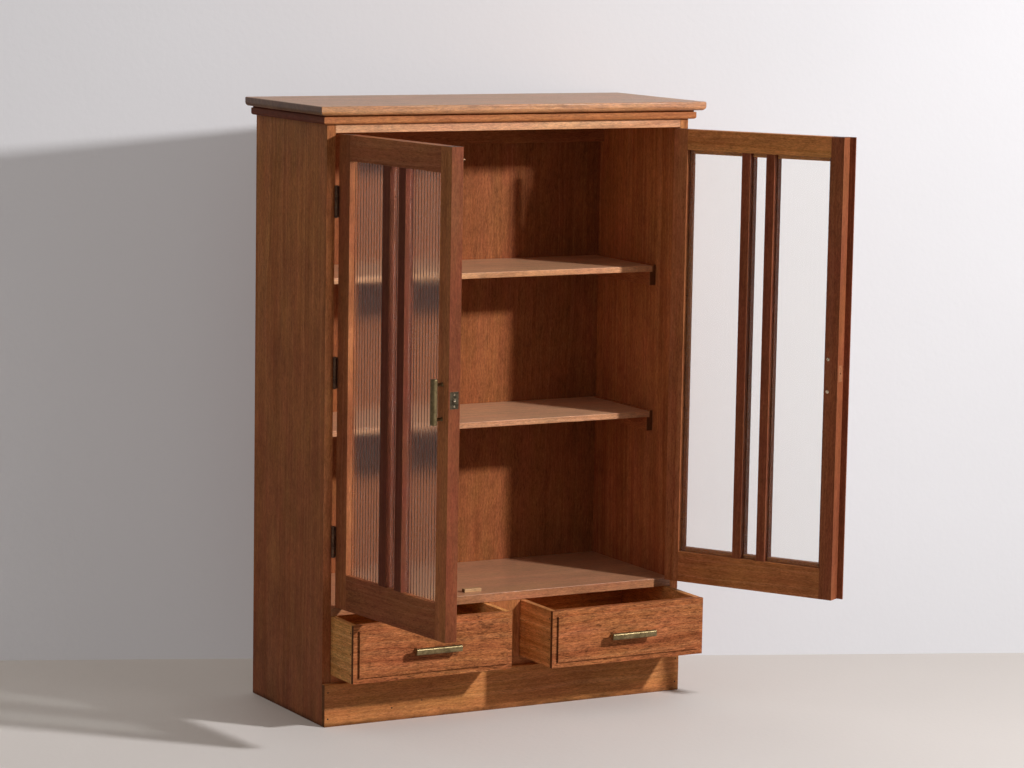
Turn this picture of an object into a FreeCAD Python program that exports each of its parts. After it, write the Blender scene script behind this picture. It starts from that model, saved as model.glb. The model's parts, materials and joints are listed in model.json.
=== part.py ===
import FreeCAD, Part
import math
import os

# A display cabinet: a tall carcass with two glazed doors over two drawers.
# +X is to the right, +Y to the back and +Z up. The origin is on the floor,
# in the middle of the underside of the plinth board.
# Lengths are in millimetres and angles in degrees.

# Whole cabinet
height = 1200.0
carcass_width = 800.0
side_depth = 322.0

# Top board
top_thick = 17.5
top_side_overhang = 25.0
top_front_overhang = 28.0
top_upper_round = 2.5
top_lower_round = 8.0

# Cornice moulding under the top board
cornice_tall = 17.5
cornice_out = 12.0
cornice_round = 4.5
cornice_neck_tall = 3.5
cornice_neck_in = 4.0

# Carcass boards
side_thick = 18.0
bottom_thick = 16.0
floor_thick = 17.0
back_thick = 6.0
back_rebate = 8.0
housing_deep = 6.0
housing_stop = 14.0
top_rail_tall = 34.5
top_rail_thick = 18.0
back_rail_tall = 82.5
back_rail_thick = 14.0

# Plinth
plinth_tall = 84.0
plinth_thick = 12.0
plinth_round = 2.0
plinth_back_thick = 18.0
corner_block_leg = 36.0
corner_block_tall = 70.0

# Drawer level
drawer_level_tall = 115.5
divider_wide = 70.0
divider_thick = 20.0
guide_wide = 18.0
guide_tall = 26.0

# Shelves and the cleats that carry them
shelf_thick = 12.0
shelf_set_back = 82.5
shelf_end_clear = 0.5
shelf_round = 1.5
upper_shelf_low = 850.0
lower_shelf_low = 551.5
cleat_wide = 14.0
cleat_ledge = 7.0
cleat_below = 28.0
cleat_above = 2.0

# Doors. In a door, s runs from the hinge axis across the door, t runs from
# the hinge axis inwards through its thickness, and z is the height.
door_thick = 25.0
door_side_gap = 1.5
door_low_gap = 1.5
door_top_gap = 1.5
meeting_gap = 2.5
meeting_offset = 5.5
hinge_stile_wide = 38.25
meeting_stile_wide = 35.5
top_rail_sight = 48.5
bottom_rail_sight = 69.0
glass_rebate_wide = 8.0
glass_rebate_deep = 14.0
bar_wide = 24.0
bar_fin_wide = 18.5
narrow_pane = 29.5
tenon_long = 16.0
tenon_thick = 7.0
tenon_shoulder = 9.0
left_door_open = 84.0
right_door_open = 120.4

# Cover strip on the right door, over the gap between the doors
cover_wide = 24.0
cover_thick = 4.5
cover_clear = 0.3
cover_bevel = 1.2

# Fluted panes
pane_clear = 0.75
pane_thick = 3.2
flute_pitch = 10.0
flute_rise = 0.9

# Butt hinges
pin_proud = 5.0
hinge_tall = 60.0
hinge_end_inset = 128.25
knuckle_count = 3
knuckle_radius = 4.0
knuckle_clear = 0.3
pin_radius = 2.0
pin_clear = 0.05
leaf_thick = 1.4
leaf_gap = 0.2
leaf_on_wood = 16.0

# Cast bar handles, shorter on the doors than on the drawers
handle_wide = 13.0
handle_deep = 11.0
handle_bevel = 1.6
handle_standoff = 12.5
post_radius = 4.0
door_handle_long = 85.0
door_post_spacing = 64.0
drawer_handle_long = 100.0
drawer_post_spacing = 82.0
door_handle_high = 680.0
door_handle_set_back = 21.5

# Ball catch in the left door's edge, and its strike in the right door's edge
catch_high = 684.0
catch_tall = 32.0
catch_wide = 19.0
plate_thick = 1.0
ball_radius = 3.0
ball_long = 9.0
ball_nose = 1.6
ball_clear = 0.05
ball_proud = 3.3
ball_travel = 2.0
barrel_wall = 0.9
barrel_end = 1.0
barrel_spare = 1.2
strike_tall = 32.0
strike_wide = 15.0
strike_hole_radius = 2.5
strike_hole_deep = 2.2
wood_clear = 0.1

# Surface bolt at the top of the left door, and its keeper on the top rail
bolt_radius = 2.5
bolt_clear = 0.15
bolt_long = 48.0
bolt_lift = 0.3
bolt_set_back = 14.0
bolt_top_below = 2.5
bolt_plate_wide = 11.0
bolt_plate_tall = 40.0
bolt_plate_thick = 1.2
strap_wall = 1.5
strap_tall = 5.0
strap_inset = 1.0
knob_below_top = 22.0
knob_radius = 3.0
knob_long = 8.0
knob_bevel = 0.8
keeper_wide = 26.0
keeper_tall = 8.0
keeper_above_rail_edge = 1.5

# Stop block on the display floor, behind the left door
stop_left = -77.0
stop_long = 38.0
stop_deep = 12.0
stop_tall = 7.0
stop_clear = 0.3

# Drawers
drawer_gap = 0.8
drawer_run_clear = 0.3
drawer_front_thick = 20.0
field_rise = 4.0
field_margin = 11.0
field_round = 1.6
drawer_side_thick = 12.0
drawer_lap = 8.0
drawer_side_drop = 0.5
drawer_back_thick = 10.0
drawer_back_inset = 2.0
drawer_back_drop = 8.0
drawer_bottom_thick = 4.0
drawer_bottom_up = 7.0
drawer_groove = 5.0
drawer_end_gap = 1.0
left_drawer_out = 102.0
right_drawer_out = 135.0

# Places that follow from the sizes above
half_width = carcass_width / 2
inner_half = half_width - side_thick
front_y = plinth_thick / 2
back_y = front_y + side_depth
back_face_y = back_y - back_thick
side_tall = height - top_thick
bottom_low = plinth_tall
bottom_high = bottom_low + bottom_thick
floor_low = bottom_high + drawer_level_tall
floor_high = floor_low + floor_thick
top_rail_low = side_tall - top_rail_tall
top_rail_back_y = front_y + top_rail_thick
cornice_low = side_tall - cornice_tall
divider_half = divider_wide / 2
shelf_front_y = front_y + shelf_set_back

axis_x = inner_half - door_side_gap / 2
axis_y = front_y - pin_proud
door_low = floor_high + door_low_gap
door_high = top_rail_low - door_top_gap
edge_s = door_side_gap / 2
left_end_s = axis_x + meeting_offset - meeting_gap / 2
right_end_s = axis_x - meeting_offset - meeting_gap / 2
cover_end_s = axis_x + meeting_offset
face_t = pin_proud
back_t = face_t + door_thick
glass_t = back_t - glass_rebate_deep
sight_hinge_s = edge_s + hinge_stile_wide
sight_low = door_low + bottom_rail_sight
sight_high = door_high - top_rail_sight
rebate_hinge_s = sight_hinge_s - glass_rebate_wide
rebate_low = sight_low - glass_rebate_wide
rebate_high = sight_high + glass_rebate_wide
bar_offset = (narrow_pane + bar_wide) / 2
tenon_t = glass_t - tenon_thick / 2
hinge_places = [door_low + hinge_end_inset, (door_low + door_high) / 2, door_high - hinge_end_inset]
leaf_s = leaf_gap / 2
leaf_reach = pin_proud + leaf_on_wood

catch_t = face_t + door_thick / 2
barrel_radius = ball_radius + ball_clear + barrel_wall
barrel_deep = ball_long - ball_proud + ball_travel + barrel_spare
bolt_s = left_end_s - bolt_set_back
bolt_t = back_t + bolt_plate_thick + bolt_lift + bolt_radius
bolt_high = door_high - bolt_top_below
keeper_low = top_rail_low + keeper_above_rail_edge

drawer_in = divider_half + drawer_gap
drawer_out = inner_half - drawer_gap
drawer_low = bottom_high + drawer_gap
drawer_high = floor_low - drawer_gap
drawer_end_y = back_face_y - drawer_end_gap
drawer_panel_low = drawer_low + drawer_bottom_up
drawer_panel_high = drawer_panel_low + drawer_bottom_thick


def point(x, y, z):
    return FreeCAD.Vector(x, y, z)


def block(x0, x1, y0, y1, z0, z1):
    """A box between two corners."""
    return Part.makeBox(x1 - x0, y1 - y0, z1 - z0, point(x0, y0, z0))


def rod(radius, x, y, z0, z1):
    """A round bar that stands upright."""
    return Part.makeCylinder(radius, z1 - z0, point(x, y, z0))


def bore(radius, x, y0, y1, z):
    """A round bar that runs from front to back."""
    return Part.makeCylinder(radius, y1 - y0, point(x, y0, z), point(0, 1, 0))


def cross_bore(radius, x0, x1, y, z):
    """A round bar that runs from left to right."""
    return Part.makeCylinder(radius, x1 - x0, point(x0, y, z), point(1, 0, 0))


def face_of(corners):
    """A flat face through corners in order."""
    return Part.Face(Part.makePolygon(corners + corners[:1]))


def mirrored(shape):
    """The same shape on the other side of the cabinet."""
    return shape.mirror(point(0, 0, 0), point(1, 0, 0))


def rounded(shape, radius, wanted):
    """Round the edges whose middle passes the test."""
    edges = [edge for edge in shape.Edges if wanted(edge.CenterOfMass)]
    return shape.makeFillet(radius, edges)


def save(name, *shapes):
    """Write one node, which may hold several solids."""
    shape = shapes[0] if len(shapes) == 1 else Part.makeCompound(list(shapes))
    shape.exportStep("parts/" + name + ".step")


# Carcass

def top_board():
    side_x = half_width + top_side_overhang
    edge_y = front_y - top_front_overhang
    board = block(-side_x, side_x, edge_y, back_y, side_tall, height)
    near = top_upper_round / 2

    def on_edge(middle):
        return abs(middle.x) > side_x - near or middle.y < edge_y + near

    board = rounded(board, top_lower_round, lambda m: on_edge(m) and m.z < side_tall + near)
    return rounded(board, top_upper_round, lambda m: on_edge(m) and m.z > height - near)


def cornice_section(place):
    """The moulding's section; place turns a distance out and a height into a point."""
    diagonal = cornice_round * math.sin(math.radians(45))
    round_out = cornice_out - cornice_round
    round_high = cornice_low + cornice_round
    neck_low = side_tall - cornice_neck_tall
    neck_out = cornice_out - cornice_neck_in
    foot = place(0, cornice_low)
    under = place(round_out, cornice_low)
    curve = place(round_out + diagonal, round_high - diagonal)
    nose = place(cornice_out, round_high)
    shoulder = place(cornice_out, neck_low)
    neck = place(neck_out, neck_low)
    neck_top = place(neck_out, side_tall)
    head = place(0, side_tall)
    edges = [Part.LineSegment(foot, under).toShape()]
    edges.append(Part.Arc(under, curve, nose).toShape())
    edges += Part.makePolygon([nose, shoulder, neck, neck_top, head, foot]).Edges
    return Part.Face(Part.Wire(edges))


def mitre_waste(side_corner):
    """The wedge outside a mitre at the front right corner."""
    inner = point(half_width, front_y, cornice_low)
    outer = point(half_width + cornice_out, front_y - cornice_out, cornice_low)
    if side_corner:
        third = point(half_width + cornice_out, front_y, cornice_low)
    else:
        third = point(half_width, front_y - cornice_out, cornice_low)
    return face_of([inner, outer, third]).extrude(point(0, 0, cornice_tall))


def cornice_front():
    reach = half_width + cornice_out
    section = cornice_section(lambda out, z: point(-reach, front_y - out, z))
    strip = section.extrude(point(reach * 2, 0, 0))
    waste = mitre_waste(True)
    return strip.cut(waste).cut(mirrored(waste))


def cornice_side():
    section = cornice_section(lambda out, z: point(half_width + out, front_y - cornice_out, z))
    strip = section.extrude(point(0, side_depth + cornice_out, 0))
    return strip.cut(mitre_waste(False))


def side_panel():
    """The right side panel, housed for the boards, rebated for the back and cut for hinges."""
    panel = block(inner_half, half_width, front_y, back_y, 0, side_tall)
    stop_y = front_y + housing_stop
    housing_x = inner_half + housing_deep
    rebate_x = inner_half + back_rebate
    panel = panel.cut(block(inner_half, housing_x, stop_y, back_face_y, bottom_low, bottom_high))
    panel = panel.cut(block(inner_half, housing_x, stop_y, back_face_y, floor_low, floor_high))
    panel = panel.cut(block(inner_half, rebate_x, back_face_y, back_y, plinth_tall, side_tall))
    seat_x = axis_x + leaf_s + leaf_thick
    for middle in hinge_places:
        low = middle - hinge_tall / 2
        high = middle + hinge_tall / 2
        panel = panel.cut(block(inner_half, seat_x, front_y, axis_y + leaf_reach, low, high))
    return panel


def housed_board(low, high):
    """A board whose ends sit in the side panels, notched where the housings stop."""
    board = block(-inner_half, inner_half, front_y, back_face_y, low, high)
    reach = inner_half + housing_deep
    return board.fuse(block(-reach, reach, front_y + housing_stop, back_face_y, low, high)).removeSplitter()


def back_panel():
    reach = inner_half + back_rebate
    return block(-reach, reach, back_face_y, back_y, plinth_tall, side_tall)


def top_rail():
    return block(-inner_half, inner_half, front_y, top_rail_back_y, top_rail_low, side_tall)


def back_top_rail():
    low = side_tall - back_rail_tall
    return block(-inner_half, inner_half, back_face_y - back_rail_thick, back_face_y, low, side_tall)


def plinth_board():
    outer_y = front_y - plinth_thick
    board = block(-half_width, half_width, outer_y, front_y, 0, plinth_tall)
    near = plinth_round / 2
    return rounded(board, plinth_round, lambda m: m.y < outer_y + near and m.z > plinth_tall - near)


def plinth_back_rail():
    return block(-inner_half, inner_half, back_face_y - plinth_back_thick, back_face_y, 0, plinth_tall)


def corner_block(y, inward):
    """A glued triangular block at the right, against a rail's face at y."""
    low = plinth_tall - corner_block_tall
    corner = point(inner_half, y, low)
    along = point(inner_half - corner_block_leg, y, low)
    across = point(inner_half, y + inward * corner_block_leg, low)
    return face_of([corner, along, across]).extrude(point(0, 0, corner_block_tall))


def drawer_divider():
    return block(-divider_half, divider_half, front_y, front_y + divider_thick, bottom_high, floor_low)


def drawer_guide():
    inner_x = divider_half - guide_wide
    back = front_y + divider_thick
    return block(inner_x, divider_half, back, back_face_y, bottom_high, bottom_high + guide_tall)


def shelf(low):
    end_x = inner_half - cleat_wide + cleat_ledge - shelf_end_clear
    board = block(-end_x, end_x, shelf_front_y, back_face_y, low, low + shelf_thick)
    near = shelf_round / 2
    return rounded(board, shelf_round, lambda m: m.y < shelf_front_y + near and abs(m.x) < near)


def cleat(shelf_low):
    """The right cleat: an upright strip with a ledge for the shelf's end."""
    low = shelf_low - cleat_below
    high = shelf_low + shelf_thick + cleat_above
    inner_x = inner_half - cleat_wide
    strip = block(inner_x, inner_half, shelf_front_y, back_face_y, low, high)
    ledge = block(inner_x, inner_x + cleat_ledge, shelf_front_y, back_face_y, shelf_low, high)
    return strip.cut(ledge)


def door_stop():
    y = axis_y + back_t + stop_clear
    return block(stop_left, stop_left + stop_long, y, y + stop_deep, floor_high, floor_high + stop_tall)


def strap(x, y, wall_y, low, high, hole_radius):
    """A loop round an upright bolt, joined to a plate whose face is at wall_y."""
    radius = hole_radius + strap_wall
    left, right = x - radius, x + radius
    loop = rod(radius, x, y, low, high)
    loop = loop.cut(block(left, right, wall_y - radius, wall_y, low, high))
    loop = loop.fuse(block(left, right, wall_y, y, low, high))
    return loop.cut(rod(hole_radius, x, y, low, high))


def bolt_keeper():
    """The keeper on the back of the top rail that takes the left door's bolt."""
    x = bolt_s - axis_x
    y = axis_y + bolt_t
    plate_y = top_rail_back_y + bolt_plate_thick
    high = keeper_low + keeper_tall
    half = keeper_wide / 2
    plate = block(x - half, x + half, top_rail_back_y, plate_y, keeper_low, high)
    loop = strap(x, y, plate_y, keeper_low, high, bolt_radius + bolt_clear * 2)
    return plate.fuse(loop).removeSplitter()


# Hinges, built round the pin with the leaf on the door's side

def hinge_leaf(first_knuckle):
    half = hinge_tall / 2
    step = hinge_tall / knuckle_count
    root_t = knuckle_radius + knuckle_clear
    leaf_far_s = leaf_s + leaf_thick
    leaf = block(leaf_s, leaf_far_s, root_t, leaf_reach, -half, half)
    for index in range(first_knuckle, knuckle_count, 2):
        low = index * step - half + knuckle_clear / 2
        high = low + step - knuckle_clear
        leaf = leaf.fuse(block(leaf_s, leaf_far_s, 0, root_t, low, high))
        leaf = leaf.fuse(rod(knuckle_radius, 0, 0, low, high))
    return leaf.cut(rod(pin_radius + pin_clear, 0, 0, -half, half)).removeSplitter()


def hinge_pin():
    half = hinge_tall / 2
    return rod(pin_radius, 0, 0, -half, half)


def at_hinges(shape):
    return [shape.translated(point(0, 0, middle)) for middle in hinge_places]


# Doors

def tenon(low, high, s0, s1):
    return block(s0, s1, tenon_t, tenon_t + tenon_thick, low + tenon_shoulder, high - tenon_shoulder)


def mortises(s0, s1):
    """The pockets for both rails' tenons between two places across the door."""
    return tenon(rebate_high, door_high, s0, s1).fuse(tenon(door_low, rebate_low, s0, s1))


def hinge_stile():
    stile = block(edge_s, sight_hinge_s, face_t, glass_t, door_low, door_high)
    stile = stile.fuse(block(edge_s, rebate_hinge_s, glass_t, back_t, door_low, door_high))
    stile = stile.cut(mortises(rebate_hinge_s - tenon_long, sight_hinge_s))
    for middle in hinge_places:
        low = middle - hinge_tall / 2
        high = middle + hinge_tall / 2
        stile = stile.cut(block(edge_s, leaf_s + leaf_thick, face_t, leaf_reach, low, high))
    return stile.removeSplitter()


def sight_edge(end_s):
    """Where a door's glass ends outside, by the meeting stile that ends at end_s."""
    return end_s - meeting_stile_wide


def rebate_edge(end_s):
    return sight_edge(end_s) + glass_rebate_wide


def meeting_stile(end_s):
    """The stile at the middle of the cabinet, without its fittings."""
    sight = sight_edge(end_s)
    rebate = rebate_edge(end_s)
    stile = block(sight, end_s, face_t, glass_t, door_low, door_high)
    stile = stile.fuse(block(rebate, end_s, glass_t, back_t, door_low, door_high))
    return stile.cut(mortises(sight, rebate + tenon_long)).removeSplitter()


def left_meeting_stile():
    hole_s = left_end_s - barrel_deep - wood_clear
    hole = cross_bore(barrel_radius + wood_clear, hole_s, left_end_s, catch_t, catch_high)
    return meeting_stile(left_end_s).cut(catch_plate()).cut(hole)


def right_meeting_stile():
    hole_s = right_end_s - strike_hole_deep
    hole = cross_bore(strike_hole_radius, hole_s, right_end_s, catch_t, catch_high)
    return meeting_stile(right_end_s).cut(strike_plate()).cut(hole)


def cover_strip():
    """A strip on the right door's outside that laps over the left door, clear of its face."""
    outer_t = face_t - cover_thick
    strip = block(cover_end_s - cover_wide, cover_end_s, outer_t, face_t, door_low, door_high)
    edges = [edge for edge in strip.Edges
             if edge.CenterOfMass.y < outer_t + cover_bevel and edge.BoundBox.ZLength > cover_wide]
    strip = strip.makeChamfer(cover_bevel, edges)
    return strip.cut(block(right_end_s, cover_end_s, face_t - cover_clear, face_t, door_low, door_high))


def door_rail(end_s, outer_low, outer_high, inner_low, inner_high):
    rebate = rebate_edge(end_s)
    rail = block(sight_hinge_s, sight_edge(end_s), face_t, glass_t, outer_low, outer_high)
    rail = rail.fuse(block(rebate_hinge_s, rebate, glass_t, back_t, inner_low, inner_high))
    end_to_end = tenon(inner_low, inner_high, rebate_hinge_s - tenon_long, rebate + tenon_long)
    return rail.fuse(end_to_end).removeSplitter()


def top_door_rail(end_s):
    return door_rail(end_s, sight_high, door_high, rebate_high, door_high)


def bottom_door_rail(end_s):
    return door_rail(end_s, door_low, sight_low, door_low, rebate_low)


def bar_places(end_s):
    """The middles of a door's two glazing bars."""
    middle = (sight_hinge_s + sight_edge(end_s)) / 2
    return [middle - bar_offset, middle + bar_offset]


def glazing_bar(middle):
    """An upright bar with a T section: wide outside, and a fin between the panes."""
    half = bar_wide / 2
    fin = bar_fin_wide / 2
    bar = block(middle - half, middle + half, face_t, glass_t, sight_low, sight_high)
    bar = bar.fuse(block(middle - fin, middle + fin, glass_t, back_t, rebate_low, rebate_high))
    return bar.removeSplitter()


def pane(s0, s1):
    """A pane of fluted glass between two rebates, flat outside and ribbed inside."""
    left = s0 + pane_clear
    right = s1 - pane_clear
    low = rebate_low + pane_clear
    count = round((right - left) / flute_pitch)
    pitch = (right - left) / count
    valley_t = glass_t + pane_thick
    ridge_t = valley_t + flute_rise
    flat = [point(left, valley_t, low), point(left, glass_t, low), point(right, glass_t, low)]
    edges = Part.makePolygon(flat + [point(right, valley_t, low)]).Edges
    for index in range(count):
        start = right - index * pitch
        ridge = point(start - pitch / 2, ridge_t, low)
        end = point(start - pitch, valley_t, low)
        edges.append(Part.Arc(point(start, valley_t, low), ridge, end).toShape())
    return Part.Face(Part.Wire(edges)).extrude(point(0, 0, rebate_high - rebate_low - pane_clear * 2))


def panes(end_s):
    """The three panes of a door, from the hinge stile to the meeting stile."""
    fin = bar_fin_wide / 2
    first, second = bar_places(end_s)
    edges = [rebate_hinge_s, first - fin, first + fin, second - fin, second + fin, rebate_edge(end_s)]
    return [pane(edges[start], edges[start + 1]) for start in (0, 2, 4)]


# Handles

def handle_post(z):
    """A round post from the face to the middle of the bar."""
    reach = handle_standoff + handle_deep / 2
    return Part.makeCylinder(post_radius, reach, point(0, 0, z), point(0, -1, 0))


def handle(long, post_spacing):
    """An upright handle whose feet stand on the plane y = 0, in front of it."""
    half = handle_wide / 2
    far_y = -handle_standoff - handle_deep
    bar = block(-half, half, far_y, -handle_standoff, -long / 2, long / 2)
    bar = bar.makeChamfer(handle_bevel, bar.Edges)
    for z in (-post_spacing / 2, post_spacing / 2):
        bar = bar.fuse(handle_post(z))
    return bar


def door_handle(end_s):
    shape = handle(door_handle_long, door_post_spacing)
    return shape.translated(point(end_s - door_handle_set_back, face_t, door_handle_high))


# Ball catch and strike

def end_plate(end_s, wide, tall):
    """A plate let into the edge of a door, level with it."""
    half = wide / 2
    low = catch_high - tall / 2
    return block(end_s - plate_thick, end_s, catch_t - half, catch_t + half, low, low + tall)


def catch_plate():
    return end_plate(left_end_s, catch_wide, catch_tall)


def catch_case():
    """The plate with the barrel that holds the ball."""
    back_s = left_end_s - barrel_deep
    barrel = cross_bore(barrel_radius, back_s, left_end_s, catch_t, catch_high)
    inside = cross_bore(ball_radius + ball_clear, back_s + barrel_end, left_end_s, catch_t, catch_high)
    return catch_plate().fuse(barrel).cut(inside).removeSplitter()


def catch_ball():
    """The sprung plunger, with a ball nose towards the strike."""
    nose_s = left_end_s + ball_proud
    ball = cross_bore(ball_radius, nose_s - ball_long, nose_s, catch_t, catch_high)
    rims = [edge for edge in ball.Edges if edge.isClosed() and edge.CenterOfMass.x > nose_s - ball_nose]
    return ball.makeChamfer(ball_nose, rims)


def strike_plate():
    return end_plate(right_end_s, strike_wide, strike_tall)


def strike():
    hole = cross_bore(strike_hole_radius, right_end_s - plate_thick, right_end_s, catch_t, catch_high)
    return strike_plate().cut(hole)


# Bolt

def bolt_guide():
    """The plate on the back of the left door, with two loops for the bolt."""
    plate_t = back_t + bolt_plate_thick
    low = bolt_high - bolt_plate_tall
    half = bolt_plate_wide / 2
    guide = block(bolt_s - half, bolt_s + half, back_t, plate_t, low, bolt_high)
    hole_radius = bolt_radius + bolt_clear
    for start in (low + strap_inset, bolt_high - strap_inset - strap_tall):
        guide = guide.fuse(strap(bolt_s, bolt_t, plate_t, start, start + strap_tall, hole_radius))
    return guide.removeSplitter()


def bolt():
    """The bolt and its knob, drawn down out of the keeper."""
    knob_z = bolt_high - knob_below_top
    knob = bore(knob_radius, bolt_s, bolt_t, bolt_t + knob_long, knob_z)
    rims = [edge for edge in knob.Edges if edge.isClosed() and edge.CenterOfMass.y > bolt_t + knob_bevel]
    knob = knob.makeChamfer(knob_bevel, rims)
    return rod(bolt_radius, bolt_s, bolt_t, bolt_high - bolt_long, bolt_high).fuse(knob)


def hang_left(shape):
    """Put a door piece on the left hinge axis, with the door open as at rest."""
    closed = shape.translated(point(-axis_x, axis_y, 0))
    return closed.rotated(point(-axis_x, axis_y, 0), point(0, 0, 1), -left_door_open)


def hang_right(shape):
    """The same for the right door, which is the other way round."""
    closed = mirrored(shape).translated(point(axis_x, axis_y, 0))
    return closed.rotated(point(axis_x, axis_y, 0), point(0, 0, 1), right_door_open)


# Drawers, built closed at the right

def drawer_front():
    margin_y = front_y + field_rise
    inner_y = front_y + drawer_front_thick
    front = block(drawer_in, drawer_out, margin_y, inner_y, drawer_low, drawer_high)
    field = block(drawer_in + field_margin, drawer_out - field_margin, front_y, margin_y,
                  drawer_low + field_margin, drawer_high - field_margin)
    field = rounded(field, field_round, lambda m: m.y < front_y + field_round / 2)
    front = front.fuse(field)
    lap_y = inner_y - drawer_lap
    for start in (drawer_in, drawer_out - drawer_side_thick):
        lap = block(start, start + drawer_side_thick, lap_y, inner_y, drawer_low, drawer_high)
        front = front.cut(lap)
    return front.cut(drawer_bottom())


def drawer_sides():
    start_y = front_y + drawer_front_thick - drawer_lap
    low = bottom_high + drawer_run_clear
    high = drawer_high - drawer_side_drop
    sides = []
    for start in (drawer_in, drawer_out - drawer_side_thick):
        side = block(start, start + drawer_side_thick, start_y, drawer_end_y, low, high)
        sides.append(side.cut(drawer_bottom()))
    return sides


def drawer_bottom():
    inner = drawer_in + drawer_side_thick - drawer_groove
    outer = drawer_out - drawer_side_thick + drawer_groove
    start_y = front_y + drawer_front_thick - drawer_groove
    end_y = drawer_end_y - drawer_back_inset
    return block(inner, outer, start_y, end_y, drawer_panel_low, drawer_panel_high)


def drawer_back():
    inner = drawer_in + drawer_side_thick
    outer = drawer_out - drawer_side_thick
    end_y = drawer_end_y - drawer_back_inset
    high = drawer_high - drawer_back_drop
    return block(inner, outer, end_y - drawer_back_thick, end_y, drawer_panel_high, high)


def drawer_handle():
    upright = handle(drawer_handle_long, drawer_post_spacing)
    flat = upright.rotated(point(0, 0, 0), point(0, 1, 0), 90)
    middle_x = (drawer_in + drawer_out) / 2
    middle_z = (drawer_low + drawer_high) / 2
    return flat.translated(point(middle_x, front_y, middle_z))


def save_carcass():
    save("top_board", top_board())
    save("cornice_front", cornice_front())
    save("cornice_left", mirrored(cornice_side()))
    save("cornice_right", cornice_side())
    save("side_panel_left", mirrored(side_panel()))
    save("side_panel_right", side_panel())
    save("bottom_board", housed_board(bottom_low, bottom_high))
    save("display_floor", housed_board(floor_low, floor_high))
    save("back_panel", back_panel())
    save("top_rail", top_rail())
    save("back_top_rail", back_top_rail())
    save("plinth_board", plinth_board())
    save("plinth_back_rail", plinth_back_rail())
    blocks = [corner_block(front_y, 1), corner_block(back_face_y - plinth_back_thick, -1)]
    save("corner_blocks", *blocks, *[mirrored(piece) for piece in blocks])
    save("drawer_divider", drawer_divider())
    save("drawer_guides", mirrored(drawer_guide()), drawer_guide())
    for level, low in (("upper", upper_shelf_low), ("lower", lower_shelf_low)):
        save("shelf_" + level, shelf(low))
        save("cleats_" + level, mirrored(cleat(low)), cleat(low))
    save("door_stop", door_stop())
    save("bolt_keeper", bolt_keeper())
    left_axis = point(-axis_x, axis_y, 0)
    leaves = at_hinges(mirrored(hinge_leaf(0)).translated(left_axis))
    save("hinge_leaves_fixed", *leaves, *[mirrored(leaf) for leaf in leaves])
    pins = at_hinges(hinge_pin().translated(left_axis))
    save("hinge_pins", *pins, *[mirrored(pin) for pin in pins])


def save_door(side, hang, end_s, stile):
    name = "door_" + side + "_"
    save(name + "hinge_stile", hang(hinge_stile()))
    save(name + "meeting_stile", hang(stile))
    save(name + "top_rail", hang(top_door_rail(end_s)))
    save(name + "bottom_rail", hang(bottom_door_rail(end_s)))
    save(name + "glazing_bars", *[hang(glazing_bar(middle)) for middle in bar_places(end_s)])
    for where, glass in zip(("hinge_side", "middle", "meeting_side"), panes(end_s)):
        save(name + "pane_" + where, hang(glass))
    save(name + "hinge_leaves", *[hang(leaf) for leaf in at_hinges(hinge_leaf(1))])
    save(name + "handle", hang(door_handle(end_s)))


def save_drawer(side, place):
    name = "drawer_" + side + "_"
    save(name + "front", place(drawer_front()))
    save(name + "sides", *[place(piece) for piece in drawer_sides()])
    save(name + "bottom", place(drawer_bottom()))
    save(name + "back", place(drawer_back()))
    save(name + "handle", place(drawer_handle()))


def main():
    os.makedirs("parts", exist_ok=True)
    save_carcass()
    save_door("left", hang_left, left_end_s, left_meeting_stile())
    save_door("right", hang_right, right_end_s, right_meeting_stile())
    save("door_right_cover_strip", hang_right(cover_strip()))
    save("catch_case", hang_left(catch_case()))
    save("catch_ball", hang_left(catch_ball()))
    save("catch_strike", hang_right(strike()))
    save("bolt_guide", hang_left(bolt_guide()))
    save("bolt", hang_left(bolt()))
    save_drawer("left", lambda piece: mirrored(piece).translated(point(0, -left_drawer_out, 0)))
    save_drawer("right", lambda piece: piece.translated(point(0, -right_drawer_out, 0)))


main()
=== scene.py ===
import json
import math
import random

import bmesh
import bpy
from mathutils import Matrix, Vector

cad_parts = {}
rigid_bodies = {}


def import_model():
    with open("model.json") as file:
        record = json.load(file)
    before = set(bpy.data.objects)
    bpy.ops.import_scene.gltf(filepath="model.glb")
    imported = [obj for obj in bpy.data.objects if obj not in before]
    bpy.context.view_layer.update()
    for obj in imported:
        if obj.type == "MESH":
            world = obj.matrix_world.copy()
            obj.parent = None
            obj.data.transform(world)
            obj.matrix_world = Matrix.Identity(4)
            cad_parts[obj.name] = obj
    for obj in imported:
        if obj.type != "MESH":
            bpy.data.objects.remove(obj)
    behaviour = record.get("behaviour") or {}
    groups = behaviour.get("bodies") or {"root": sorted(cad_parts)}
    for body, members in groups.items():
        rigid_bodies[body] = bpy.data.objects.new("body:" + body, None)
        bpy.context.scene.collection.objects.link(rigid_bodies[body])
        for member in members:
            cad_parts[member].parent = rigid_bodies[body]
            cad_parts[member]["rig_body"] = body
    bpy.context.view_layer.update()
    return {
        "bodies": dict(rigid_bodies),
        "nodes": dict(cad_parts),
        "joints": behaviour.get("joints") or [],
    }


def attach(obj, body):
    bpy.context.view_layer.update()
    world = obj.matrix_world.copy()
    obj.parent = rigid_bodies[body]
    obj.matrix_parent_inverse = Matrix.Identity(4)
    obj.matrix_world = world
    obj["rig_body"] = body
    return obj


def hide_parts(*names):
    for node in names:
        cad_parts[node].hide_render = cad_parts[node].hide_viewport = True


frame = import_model()

# The looks of a display cabinet. Lengths are in metres and angles in radians,
# unless a name says otherwise.

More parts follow.
